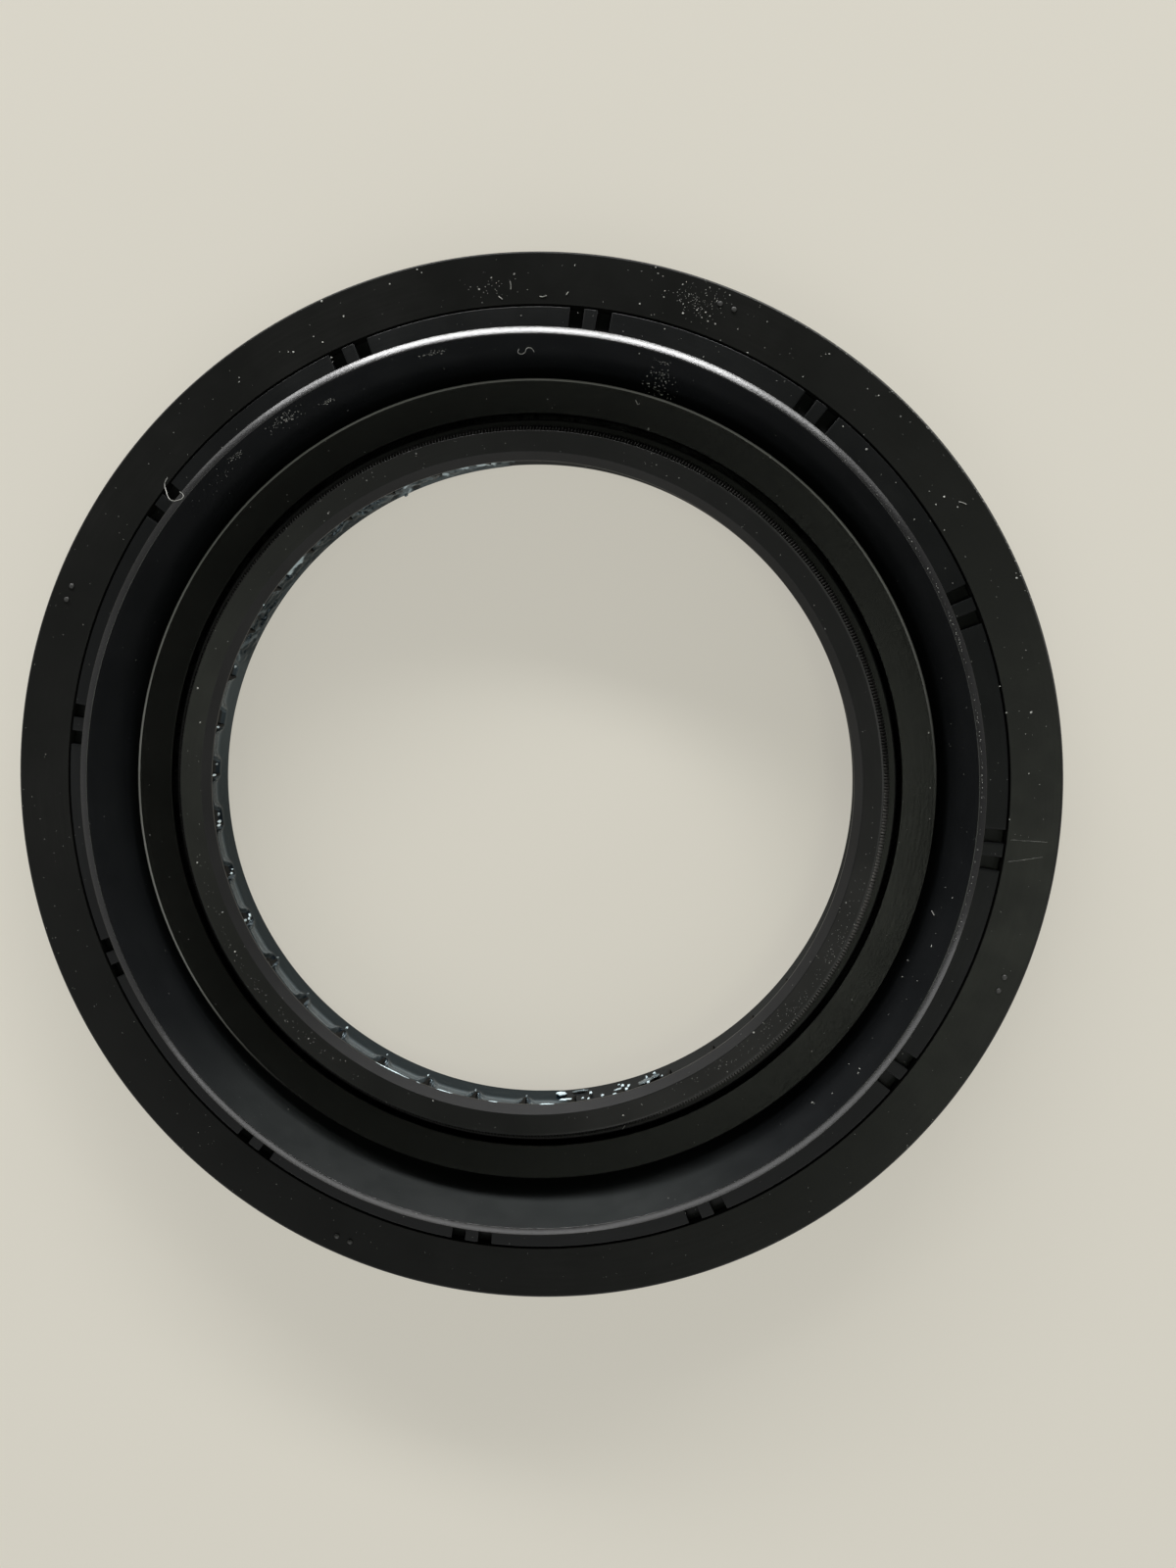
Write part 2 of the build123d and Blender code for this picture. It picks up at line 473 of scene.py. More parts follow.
def addRib(bm, degrees):
    # a pad drawn on the sealing flank, pulled out to its crest, then turned to its place
    s = ribSize
    topZ = bodySize["edgeHeight"] - bodySize["edgeLand"] / 2
    middleWidth, middleDown = s["middle"]
    half = [s["topWidth"] / 2, s["topWidth"] * middleWidth, s["tipWidth"] / 2]
    heights = [topZ - s["sunk"], topZ - s["length"] * middleDown, topZ - s["length"]]
    left = [(s["root"], -w, z) for w, z in zip(half, heights)]
    right = [(s["root"], w, z) for w, z in zip(half, heights)]
    start = [bm.verts.new(p) for p in left + right[::-1]]
    base = bm.faces.new(start)
    raised = bmesh.ops.extrude_face_region(bm, geom=[base])["geom"]
    crest = [v for v in raised if isinstance(v, bmesh.types.BMVert)]
    for v in crest:
        fall = (topZ - v.co.z) / s["length"]
        v.co.x = s["crest"] + s["lean"] * fall
        v.co.y *= s["crestWidth"]
    shape = [v for v in crest + start if v.is_valid]
    faces = {f for v in shape for f in v.link_faces}
    edges = [e for e in {e for f in faces for e in f.edges} if all(v in crest for v in e.verts)]
    made = bmesh.ops.bevel(
        bm, geom=edges, offset=s["rounding"], segments=2, profile=0.5, affect="EDGES", material=-1
    )
    shape = list({v for v in shape if v.is_valid} | set(made["verts"]))
    bmesh.ops.rotate(bm, verts=shape, matrix=Matrix.Rotation(math.radians(degrees), 3, "Z"))


pipSize = {
    "pairs": 4, "first": 67.5, "pitch": 2.25, "ring": 77.5, "width": 0.9, "height": 0.3, "sunk": 0.05
}


def addPips(bm):
    s = pipSize
    turn = math.degrees(s["pitch"] / 2 / s["ring"])
    for pair in range(s["pairs"]):
        for side in (-turn, turn):
            degrees = s["first"] + pair * 360 / s["pairs"] + side
            place = polar(s["ring"], degrees, bodySize["front"] - s["sunk"])
            scaling = Matrix.Diagonal((s["width"] / 2, s["width"] / 2, s["height"] + s["sunk"], 1))
            bmesh.ops.create_uvsphere(
                bm, u_segments=20, v_segments=12, radius=1, matrix=Matrix.Translation(place) @ scaling
            )


def makeBody():
    bm = spinOutline(drawOutline(bodyOutline()), bodySize["steps"])
    for rib in range(ribSize["count"]):
        addRib(bm, ribSize["first"] + rib * 360 / ribSize["count"])
    addPips(bm)
    faceOut(bm)

    # the ribs and the flank under them take the darker rubber, as painted shade
    def bodySkinOf(face):
        middle = face.calc_center_median()
        return 1 if 4.4 < middle.z < 11.95 and radiusOf(middle) < lipSurface(middle.z) + 0.1 else 0

    skins = [rubberSkin, ribShadeSkin]
    return finishPiece("rubberBody", bm, skins, "body_rubber", "rubber_body", choose=bodySkinOf)


# the raised collar

collarSize = {
    "foot": 3.5,
    "footInside": 62.46,
    "radius": 72.12,
    "ledgeInside": 68.6,  # the outside is a ledge that rises a little to the foot of the wall
    "ledgeRise": 0.17,
    "rimOutside": 67.72,
    "rimInside": 66.52,
    "rimFall": 0.64,
    "steps": 1080,
    "slotDepth": 1.7,
    "slotPairs": 12,
    "slotFirst": 22.5,
    "slotColumns": 5,  # width of a slot, in steps of the ring
    "gapColumns": 5,  # and of the bar between two slots
    "edgeRound": 0.16,
    "edgeAngle": 50,  # the bars' edges turn by more than this
    "rimRound": 0.1,
    # inside wall: in from the rim, down from the top, and the rounding there
    "wall": [(1.1, 3.8, 2.0), (2.63, 9.0, 3.0)],
    "wallFoot": (0.44, 5.0),
}


def makeCollar():
    s = collarSize
    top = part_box("collar")[1].z / mm
    front = bodySize["front"]
    rise = (s["radius"] - s["ledgeInside"]) * s["ledgeRise"]
    outline = [
        (s["footInside"], s["foot"], 0),
        (s["radius"], s["foot"], 0),
        (s["radius"], front - s["slotDepth"], 0),
        (s["radius"], front, 0),
        (s["ledgeInside"], front + rise, 0),
        (s["rimOutside"], top - s["rimFall"], s["rimRound"]),
        (s["rimInside"], top, s["rimRound"]),
        *[(s["rimInside"] - inwards, top - down, rounding) for inwards, down, rounding in s["wall"]],
        (s["footInside"] + s["wallFoot"][0], s["wallFoot"][1], 0),
    ]
    step = 360 / s["steps"]
    bm = spinOutline(drawOutline(outline), s["steps"])

    # every slot is a block of columns of the ledge, pushed down and left open to the seam
    near = s["gapColumns"] / 2 * step
    far = near + s["slotColumns"] * step
    pitch = 360 / s["slotPairs"]

    def inSlot(face):
        middle = face.calc_center_median()
        aside = abs((angleOf(middle) - s["slotFirst"] + pitch / 2) % pitch - pitch / 2)
        return middle.z > front - s["slotDepth"] and near < aside < far

    def middleRadius(face):
        return radiusOf(face.calc_center_median())

    ledge = [f for f in bm.faces if f.normal.z > 0.8 and middleRadius(f) > s["ledgeInside"]]
    cut = [f for f in ledge if inSlot(f)]
    made = bmesh.ops.extrude_face_region(bm, geom=cut)["geom"]
    lowered = [v for v in made if isinstance(v, bmesh.types.BMVert)]
    bmesh.ops.translate(bm, verts=lowered, vec=(0, 0, -s["slotDepth"]))
    bmesh.ops.delete(bm, geom=[f for f in cut if f.is_valid], context="FACES")
    outer = [f for f in bm.faces if middleRadius(f) > s["radius"] - 0.02 and inSlot(f)]
    bmesh.ops.delete(bm, geom=outer, context="FACES")
    joinUp(bm)

    # break the edges round the bars
    proud = []
    for edge in bm.edges:
        if not edge.is_manifold or edge.calc_face_angle_signed(0) < math.radians(s["edgeAngle"]):
            continue
        middle = (edge.verts[0].co + edge.verts[1].co) / 2
        if front - 0.1 < middle.z < front + rise + 0.1:
            proud.append(edge)
    bmesh.ops.bevel(
        bm, geom=proud, offset=s["edgeRound"], segments=2, profile=0.5, affect="EDGES",
        clamp_overlap=True, material=-1,
    )
    faceOut(bm)

    def collarSkinOf(face):
        middle = face.calc_center_median()
        if s["rimInside"] - 0.08 < radiusOf(middle) < s["rimOutside"] + 0.05 and middle.z > top - 1:
            return 2
        inwards = face.normal.x * middle.x + face.normal.y * middle.y < 0
        return 1 if inwards and radiusOf(middle) < s["rimInside"] + 0.1 else 0

    return finishPiece(
        "collarRing", bm, [collarSkin, wallSkin, rimSkin], "collar_black", "collar", sharpAngle=32,
        choose=collarSkinOf,
    )


# the inner case, whose dished ring shows beside the lip

innerSize = {
    "sheet": 1.0, "inside": 56.53, "outside": 61.7, "foot": 72.0,
    "height": 9.3, "dish": 0.85, "bend": 0.22, "steps": 320,
}


def makeInnerCase():
    s = innerSize
    webTop = bodySize["seatFloor"]
    wallInside = s["outside"] - s["sheet"]
    slope = s["dish"] / (s["outside"] - s["inside"])
    under = s["height"] - s["sheet"]
    outline = [
        (wallInside, webTop, 0),
        (s["foot"], webTop, 0),
        (s["foot"], webTop + s["sheet"], 0),
        (s["outside"], webTop + s["sheet"], 0.3),
        (s["outside"], s["height"], s["bend"]),
        (s["inside"], s["height"] - s["dish"], 0.15),
        (s["inside"], under - s["dish"], 0.15),
        (wallInside, under - s["sheet"] * slope, 0.3),
    ]
    bm = spinOutline(drawOutline(outline), s["steps"])
    return finishPiece("innerCase", bm, [innerSkin], "inner_case_black", "inner_case")


# the garter spring: a helix run round a ring

springSize = {"ring": 53.42, "height": 11.76, "radius": 0.92, "wire": 0.46, "turns": 700, "perTurn": 11}


def tubeMesh(name, kind, radius, places, closed):
    curve = bpy.data.curves.new(name, "CURVE")
    curve.dimensions = "3D"
    curve.bevel_depth = radius
    curve.bevel_resolution = 1
    curve.use_fill_caps = not closed
    spline = curve.splines.new(kind)
    spline.points.add(len(places) - 1)
    for point, place in zip(spline.points, places):
        point.co = (*place, 1)
    spline.order_u = 3
    spline.use_endpoint_u = not closed
    spline.use_cyclic_u = closed
    holder = bpy.data.objects.new(name, curve)
    mesh = bpy.data.meshes.new_from_object(holder)
    mesh.name = name
    bpy.data.objects.remove(holder)
    return mesh


def makeSpring():
    s = springSize
    count = s["turns"] * s["perTurn"]
    reach = s["radius"] - s["wire"] / 2
    places = []
    for i in range(count):
        turn = math.tau * i / s["perTurn"]
        r = s["ring"] + reach * math.cos(turn)
        places.append(polar(r, 360 * i / count, s["height"] + reach * math.sin(turn)) * mm)
    mesh = tubeMesh("garterCoil", "POLY", s["wire"] / 2 * mm, places, True)
    for polygon in mesh.polygons:
        polygon.use_smooth = True
    mesh.materials.clear()
    mesh.materials.append(springSteel())
    piece = bpy.data.objects.new("garterCoil", mesh)
    scene.collection.objects.link(piece)
    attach(piece, "root")
    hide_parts("garter_spring")
    print(f"garterCoil: {len(mesh.polygons)} faces")
    return piece


# grease left between the two lips, smeared along one part and lying in pillows between the ribs on the rest

greaseSize = {
    "from": 91.5,  # degrees round the ring
    "to": 277.5,
    "step": 0.2,
    "low": 1.32,  # heights it is drawn between
    "high": 7.3,
    "rows": 28,
    "evenFrom": 155.0,  # smeared before this, even after it
    "fade": 5.0,  # runs out over this at both ends
    "foot": 49.68,  # radius at the dust lip's edge
    "lean": 0.4,  # and how fast it falls back from there
    "overhang": 0.12,
    "lump": 0.3,
    "streaks": (0.8, 2.1, 4),  # falloff, step and octaves of the noise
    "open": 9.0,  # shoulder and top of the smeared part
    "shoulder": (3.1, 1.0),  # of a pillow: least height, and how much the arch adds
    "top": (3.3, 6.5),
    "archEnds": (1.6, 2.1),  # degrees over which the arch rises and falls
    "turnsEven": 4,  # degrees from smears to pillows
    "dent": 0.12,  # how far a milky and bright place stands out, over its milkAndGlint value
    "drawnAt": 50.5,  # radius its front is drawn at, and the corners of its back
    "back": [(51.9, 7.3), (51.9, 4.2), (50.9, 1.7)],
    "gapsFrom": 160.5,
    "firstGap": 0.5,
    # dark gap before and after each rib from there on, in degrees
    "gaps": [
        (1.6, 0.0), (2.2, 0.4), (2.2, 0.3), (2.3, 0.4), (1.1, 0.5), (1.1, 0.6), (0.9, 0.2), (0.6, 0.1),
        (0.8, 0.2), (0.5, 0.4), (0.5, 0.4), (0.3, 0.2), (0.3, 0.2), (0.3, 0.2)
    ],
    # places wiped down to the rubber: width, then degrees and height along each
    "wipes": [
        (1.1, [(119.3, 3.4), (121.6, 3.7)]),
        (0.3, [(122.0, 2.3), (123.2, 3.5), (124.1, 4.3), (125.3, 3.8), (126.6, 3.4), (128.3, 3.1)]),
        (0.6, [(95.6, 3.1), (97.0, 3.3)]), (0.6, [(114.8, 3.7), (116.4, 3.8)]),
        (0.5, [(133.1, 4.2), (133.9, 4.0)]), (0.4, [(140.0, 3.4), (140.3, 3.9)]),
        (0.4, [(150.7, 4.7), (152.0, 4.8)]), (0.5, [(148.7, 4.0), (149.4, 3.2)]),
        (0.7, [(111.5, 2.0), (112.3, 2.0)]), (0.4, [(99.0, 2.0), (101.0, 2.2)]),
        (0.5, [(128.6, 2.9), (129.8, 2.8)]),
    ],
    # smears, lighter where more air is beaten in, the lightest also standing for wet highlights as painted
    # highlight: how milky and bright, width, then degrees and height along each
    "smears": [
        (0.14, 1.0, [(92.9, 2.7), (95.2, 2.6)]), (0.72, 1.0, [(97.4, 2.7), (98.5, 2.9), (99.8, 3.3)]),
        (0.14, 0.6, [(99.5, 2.7), (100.9, 2.5), (101.7, 2.3)]),
        (0.13, 1.3, [(101.0, 2.6), (103.4, 2.9)]), (0.72, 0.8, [(102.1, 2.7), (103.0, 3.2)]),
        (0.14, 0.6, [(104.7, 2.8), (105.5, 3.0)]), (0.58, 0.7, [(105.9, 2.4), (106.9, 2.8)]),
        (0.11, 0.6, [(105.0, 1.7), (106.0, 2.3)]), (0.12, 0.7, [(108.7, 2.8), (110.3, 3.4)]),
        (0.07, 0.7, [(110.1, 2.5), (111.1, 2.5)]),
        (0.14, 1.8, [(112.3, 3.8), (113.1, 2.8), (113.8, 1.8), (114.4, 1.2)]),
        (0.72, 0.4, [(113.0, 3.7), (113.8, 3.1)]), (0.5, 0.4, [(113.1, 2.0), (113.6, 1.6)]),
        (0.29, 0.4, [(114.1, 2.0), (114.6, 1.2)]),
        (0.09, 0.4, [(115.3, 2.6), (116.1, 2.3), (116.8, 3.1), (117.5, 3.3)]),
        (0.06, 1.2, [(117.4, 2.5), (119.8, 2.4)]),
        (0.13, 0.3, [(121.1, 2.2), (122.5, 3.2), (123.6, 4.1)]),
        (0.13, 0.3, [(122.5, 2.2), (123.6, 3.4), (124.1, 3.7)]),
        (0.1, 0.3, [(124.2, 3.4), (125.6, 3.0), (127.7, 2.7)]),
        (0.13, 0.4, [(127.3, 3.6), (128.1, 4.2), (129.5, 4.2)]),
        (0.14, 0.4, [(129.4, 4.2), (131.5, 4.1), (132.4, 3.6)]),
        (0.16, 0.5, [(134.5, 4.0), (135.9, 4.3)]),
        (0.72, 0.9, [(136.0, 4.1), (139.1, 4.1), (139.6, 3.8)]),
        (0.14, 0.5, [(140.6, 3.8), (141.7, 4.2)]), (0.12, 0.4, [(142.3, 4.5), (144.0, 4.3)]),
        (0.13, 0.5, [(142.7, 3.8), (143.8, 3.3)]),
        (0.14, 0.4, [(147.6, 3.2), (148.2, 4.3), (148.8, 4.8)]),
        (0.13, 0.3, [(150.6, 4.2), (152.5, 4.8)]),
        (0.13, 0.4, [(151.0, 2.5), (152.1, 3.4), (152.5, 4.2), (152.9, 4.9)]),
        (0.13, 0.6, [(152.5, 2.5), (153.9, 3.6), (155.2, 4.4)]),
        (0.25, 0.3, [(154.5, 4.9), (156.2, 4.4), (157.6, 3.8)]),
        (0.06, 1.0, [(95.1, 1.9), (111.2, 1.8)]), (0.04, 0.9, [(136.3, 1.6), (153.1, 1.8)]),
    ],
    # blobs and threads of it, the ones on the sealing edge and the ribs made light as painted glints:
    # degrees, radius, height, length round the ring, height, depth, how milky and bright
    "blobs": [
        (244.2, 49.06, 12.25, 6.4, 0.3, 0.26, 1.0), (249.4, 49.06, 12.25, 0.7, 0.25, 0.2, 0.9),
        (254.4, 49.06, 12.25, 2.6, 0.32, 0.26, 1.0), (263.4, 49.06, 12.25, 1.9, 0.3, 0.24, 1.0),
        (273.0, 49.04, 12.25, 2.4, 0.34, 0.3, 1.0), (145.7, 49.05, 12.3, 0.35, 0.3, 0.25, 1.0),
        (158.2, 49.16, 10.1, 0.43, 0.9, 0.3, 0.7), (169.5, 49.06, 11.1, 0.3, 1.3, 0.3, 1.0),
        (176.4, 49.24, 9.2, 0.3, 1.0, 0.3, 0.4), (178.3, 49.11, 10.6, 0.35, 1.6, 0.3, 1.0),
        (185.5, 49.28, 8.8, 0.52, 0.8, 0.3, 0.4), (186.9, 49.28, 8.8, 0.52, 1.4, 0.3, 1.0),
        (187.5, 49.2, 9.7, 0.35, 1.6, 0.3, 1.0), (196.6, 49.32, 8.4, 0.35, 1.2, 0.3, 1.0),
        (196.0, 49.46, 6.9, 0.22, 0.8, 0.3, 0.9), (205.0, 49.43, 7.2, 0.7, 1.1, 0.3, 1.0),
        (205.5, 49.29, 8.7, 0.43, 0.9, 0.3, 1.0), (205.4, 49.04, 11.4, 0.43, 1.1, 0.3, 0.5),
        (214.3, 49.75, 4.7, 0.35, 0.9, 0.3, 0.2), (223.0, 49.75, 4.1, 0.35, 0.9, 0.3, 0.12),
        (232.5, 49.75, 3.4, 0.35, 1.1, 0.3, 0.9), (241.5, 49.75, 3.7, 0.3, 0.9, 0.3, 0.4),
        (250.0, 49.75, 4.4, 0.3, 1.0, 0.3, 0.8), (259.2, 49.75, 5.0, 0.26, 1.0, 0.3, 0.4),
        (268.6, 49.75, 4.7, 0.26, 1.1, 0.3, 0.3), (274.8, 50.0, 2.6, 1.6, 1.0, 0.7, 1.0),
        (275.6, 50.45, 4.5, 2.1, 0.9, 0.3, 1.0), (278.8, 50.45, 4.9, 0.45, 0.6, 0.3, 0.8),
        (279.9, 50.5, 5.6, 0.4, 0.9, 0.35, 1.0), (280.2, 50.2, 3.3, 0.5, 0.9, 0.4, 1.0),
        (278.2, 49.9, 2.3, 2.6, 0.5, 0.3, 0.25), (282.4, 50.45, 5.2, 0.5, 0.7, 0.35, 0.9),
        (284.7, 50.5, 5.8, 0.7, 0.6, 0.3, 0.9), (285.3, 50.35, 3.9, 1.7, 0.6, 0.25, 0.6),
        (286.2, 50.1, 3.4, 0.5, 1.0, 0.45, 1.0), (286.8, 50.4, 4.9, 0.7, 1.2, 0.4, 1.0),
        (287.3, 50.25, 3.8, 0.5, 1.0, 0.35, 1.0), (285.5, 50.0, 2.7, 0.4, 0.5, 0.3, 0.7),
        (290.4, 50.3, 4.0, 2.2, 2.4, 0.4, 0.13), (292.3, 50.25, 3.4, 1.4, 2.0, 0.35, 0.11),
        (291.0, 50.35, 5.3, 0.5, 0.6, 0.3, 1.0), (290.8, 50.0, 3.2, 0.3, 0.9, 0.4, 0.9),
        (292.3, 49.95, 2.7, 0.5, 0.6, 0.4, 0.9), (293.7, 50.35, 4.5, 0.3, 0.8, 0.3, 0.7),
        (114.3, 49.6, 1.35, 0.6, 0.6, 0.5, 0.2),
    ],
}

greaseLook = {
    "thin": (0.003, 0.006, 0.009, 1),
    # milky grease, and painted glints on the blobs and brightest smears
    "milkyAndGlint": (0.74, 0.88, 0.93, 1),
    "smooth": 0.08,
    "dull": 0.18,
    "patches": (700.0, 3.0),
    "patchTones": (0.35, 0.7),
    "specular": 0.42,
    "tint": (0.72, 0.92, 1.0, 1),
    # how milky the pillows are, and what comes and goes round the ring
    "band": 0.07,
    "bandMore": (0.045, 178),
    "grey": (0.05, 165),
    "turn": 20,
}


def greaseMaterial():
    material, tree, skin = newMaterial("grease")
    s = greaseLook
    # milkAndGlint mixes in the milky colour, which on the glint blobs and brightest smears is a painted
    # highlight
    milkAndGlint = addNode(tree, "ShaderNodeAttribute", {"attribute_name": "milkAndGlint"}).outputs["Fac"]
    where = objectPlace(tree)
    patches = noise(tree, where, *s["patches"])
    gloss = ramp(tree, patches, *s["patchTones"], s["smooth"], s["dull"])
    feed(tree, skin, {"Base Color": mixColour(tree, milkAndGlint, s["thin"], s["milkyAndGlint"]), "Roughness": gloss})
    feed(tree, skin, {"Specular IOR Level": s["specular"], "Specular Tint": s["tint"]})
    return material


def ease(value):
    value = min(1.0, max(0.0, value))
    return value * value * (3 - 2 * value)


def greaseRadius(degrees, z, wiped):
    s = greaseSize
    skin = lipSurface(z)
    pitch = 360 / ribSize["count"]
    past = (degrees - ribSize["first"]) % pitch
    even = ease((degrees - s["evenFrom"]) / s["turnsEven"])

    # between two ribs it stands as a pillow with an arched top, upright where it bridges them
    rib = min(len(s["gaps"]) - 2, max(0, int((degrees - s["gapsFrom"]) // pitch)))
    after, before = s["gaps"][rib][1], s["gaps"][rib + 1][0]
    if degrees < s["gapsFrom"]:
        after, before = s["firstGap"], s["gaps"][0][0]
    rising, falling = s["archEnds"]
    arch = ease((past - after) / rising) * ease((pitch - before - past) / falling)
    shoulder, top = [
        s["open"] + (least + more * arch - s["open"]) * even for least, more in (s["shoulder"], s["top"])
    ]
    r = s["foot"] + s["lean"] * (min(z, shoulder) - s["low"]) - s["overhang"] * max(0.0, z - shoulder)

    # streaks run aslant
    along = degrees * mmPerDegree
    place = Vector((along * 0.5 + z * 0.3, z * 1.3 - along * 0.3, 3.3))
    streak = lumps.fractal(place, *s["streaks"])
    r -= s["lump"] * (1 - 0.9 * even) * streak * ease((z - 1.5) / 0.8)
    r += (skin + 0.08 - r) * max(ease((z - top) / 0.45), wiped)
    ends = ease(min(degrees - s["from"], s["to"] - degrees) / s["fade"])
    return r + (skin + 0.15 - r) * (1 - ends)


def strokeAmount(degrees, z, width, line):
    # 1 along the line, falling to 0 half its width away, with a ragged border
    if degrees < line[0][0] - 2 or degrees > line[-1][0] + 2:
        return 0.0
    here = Vector((degrees * mmPerDegree, z))
    ragged = 1 + 0.5 * lumps.noise(Vector((here.x * 2.2, z * 2.2, 1.7)))
    gaps = []
    for near, far in zip(line, line[1:]):
        a = Vector((near[0] * mmPerDegree, near[1]))
        step = Vector((far[0] * mmPerDegree, far[1])) - a
        along = min(1.0, max(0.0, (here - a).dot(step) / step.length_squared))
        gaps.append((here - a - step * along).length)
    return 1 - ease((min(gaps) / (width / 2 * ragged) - 0.5) / 0.9)


def greaseMilkAndGlint(degrees, z):
    s = greaseSize
    look = greaseLook
    smear = max(milkAndGlint * strokeAmount(degrees, z, width, line) for milkAndGlint, width, line in s["smears"])
    more, moreFrom = look["bandMore"]
    band = (look["band"] + more * ease((degrees - moreFrom) / look["turn"])) * ease((z - 3.4) / 0.8)
    grey, greyUntil = look["grey"]
    grey *= 1 - ease((degrees - greyUntil) / look["turn"])
    return max(smear, ease((degrees - s["evenFrom"]) / s["turnsEven"]) * (band + grey))


def addBlob(bm, milkAndGlint, degrees, r, z, length, tall, deep, amount):
    # a squashed ball of uneven outline, bent to the ring
    for v in bmesh.ops.create_icosphere(bm, subdivisions=3, radius=0.5)["verts"]:
        uneven = 1 + 0.45 * lumps.noise(v.co * 3.1 + Vector((degrees, z, r)))
        turn = math.degrees(v.co.x * uneven * length / r)
        v.co = polar(r - v.co.y * uneven * deep, degrees + turn, z + v.co.z * uneven * tall)
        v[milkAndGlint] = amount


def makeGrease():
    s = greaseSize
    bm = bmesh.new()
    heights = [s["low"] + (s["high"] - s["low"]) * row / s["rows"] for row in range(s["rows"] + 1)]
    section = [bm.verts.new((s["drawnAt"], 0, z)) for z in heights]
    section += [bm.verts.new((r, 0, z)) for r, z in s["back"]]
    rows = [bm.edges.new(pair) for pair in zip(section, section[1:] + section[:1])]
    arc = s["to"] - s["from"]
    made = bmesh.ops.spin(
        bm, geom=section + rows, cent=(0, 0, 0), axis=(0, 0, 1), angle=math.radians(arc),
        steps=round(arc / s["step"]),
    )
    for loop in (rows, [e for e in made["geom_last"] if isinstance(e, bmesh.types.BMEdge)]):
        bmesh.ops.contextual_create(bm, geom=loop)
    milkAndGlint = bm.verts.layers.float.new("milkAndGlint")
    for v in bm.verts:
        r = radiusOf(v.co)
        degrees = angleOf(v.co) + s["from"]
        if r < s["drawnAt"] + 0.2:
            v[milkAndGlint] = greaseMilkAndGlint(degrees, v.co.z)
            wiped = max(strokeAmount(degrees, v.co.z, width, line) for width, line in s["wipes"])
            r = greaseRadius(degrees, v.co.z, wiped) - s["dent"] * min(0.5, v[milkAndGlint])
        v.co = polar(r, degrees, v.co.z)
    for blob in s["blobs"]:
        addBlob(bm, milkAndGlint, *blob)
    faceOut(bm)
    return finishPiece("grease", bm, [greaseMaterial()], "body_rubber", sharpAngle=70)


# dust and lint

